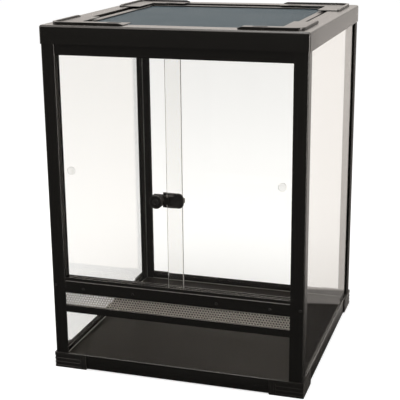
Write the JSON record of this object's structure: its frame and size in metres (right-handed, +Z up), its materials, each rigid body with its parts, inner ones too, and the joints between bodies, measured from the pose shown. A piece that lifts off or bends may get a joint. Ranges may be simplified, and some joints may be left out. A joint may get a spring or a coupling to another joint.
{
  "type": "reptile terrarium",
  "caption": "Glass terrarium in a black corner-post frame, with sliding locked front doors, a mesh vent strip and a lift-off mesh lid.",
  "frame": {"origin": "centre of the footprint on the surface that the feet stand on", "axes": "+X to the right seen from the front, -Y towards the front doors, +Z up"},
  "size_m": [0.4546, 0.4607, 0.6132],
  "materials": {
    "frame_black": "satin black powder-coated extrusion",
    "moulded_black": "satin black moulded plastic",
    "lid_black": "satin black moulded plastic",
    "clear_glass": "clear float glass, faint green edge",
    "floor_panel": "smooth dark warm grey sheet",
    "wire_mesh": "perforated steel sheet with fine round holes",
    "silicone": "clear silicone fillet",
    "screw": "black zinc screw head",
    "pull_clear": "clear acrylic",
    "rubber_pad": "black rubber",
    "lock_black": "semi-gloss black enamel",
    "lock_plug": "dark plated brass"
  },
  "bodies": {
    "tank": {"base_rail_front": "frame_black", "base_rail_back": "frame_black", "base_rail_left": "frame_black", "base_rail_right": "frame_black", "foot_front_left": "moulded_black", "foot_front_right": "moulded_black", "foot_back_left": "moulded_black", "foot_back_right": "moulded_black", "floor_panel": "floor_panel", "post_front_left": "frame_black", "post_front_right": "frame_black", "post_back_left": "frame_black", "post_back_right": "frame_black", "glass_back": "clear_glass", "glass_left": "clear_glass", "glass_right": "clear_glass", "glass_front_lower": "clear_glass", "corner_seals": "silicone", "bead_rear_left": "frame_black", "bead_rear_right": "frame_black", "bead_side_left": "frame_black", "bead_side_right": "frame_black", "vent_rail": "frame_black", "vent_mesh": "wire_mesh", "door_track_lower": "frame_black", "door_track_upper": "frame_black", "track_screws": "screw", "jamb_left": "frame_black", "jamb_right": "frame_black", "top_rail_front": "frame_black", "top_rail_back": "frame_black", "top_rail_left": "frame_black", "top_rail_right": "frame_black", "top_corner_front_left": "moulded_black", "top_corner_front_right": "moulded_black", "top_corner_back_left": "moulded_black", "top_corner_back_right": "moulded_black"},
    "left_door": {"door_left": "clear_glass", "finger_pull_left": "pull_clear", "lock_hook": "lock_black", "lock_pad": "rubber_pad"},
    "right_door": {"door_right": "clear_glass", "finger_pull_right": "pull_clear", "lock_barrel": "lock_black"},
    "lock_plug_body": {"lock_plug": "lock_plug"},
    "lid": {"lid_rail_front": "lid_black", "lid_rail_back": "lid_black", "lid_rail_left": "lid_black", "lid_rail_right": "lid_black", "lid_corner_front_left": "lid_black", "lid_corner_front_right": "lid_black", "lid_corner_back_left": "lid_black", "lid_corner_back_right": "lid_black", "lid_mesh": "wire_mesh", "lid_spline": "rubber_pad"}
  },
  "joints": [
    {"name": "left_door_slide", "type": "slide", "parent": "tank", "child": "left_door", "axis": [1, 0, 0], "range_m": [0, 0.18]},
    {"name": "right_door_slide", "type": "slide", "parent": "tank", "child": "right_door", "axis": [-1, 0, 0], "range_m": [0, 0.16]},
    {"name": "lock_turn", "type": "hinge", "parent": "right_door", "child": "lock_plug_body", "pos_m": [-0.0263, -0.233, 0.324], "axis": [0, 1, 0], "range_deg": [0, 90]},
    {"name": "lid_lift", "type": "slide", "parent": "tank", "child": "lid", "axis": [0, 0, 1], "range_m": [0, 0.06]}
  ]
}
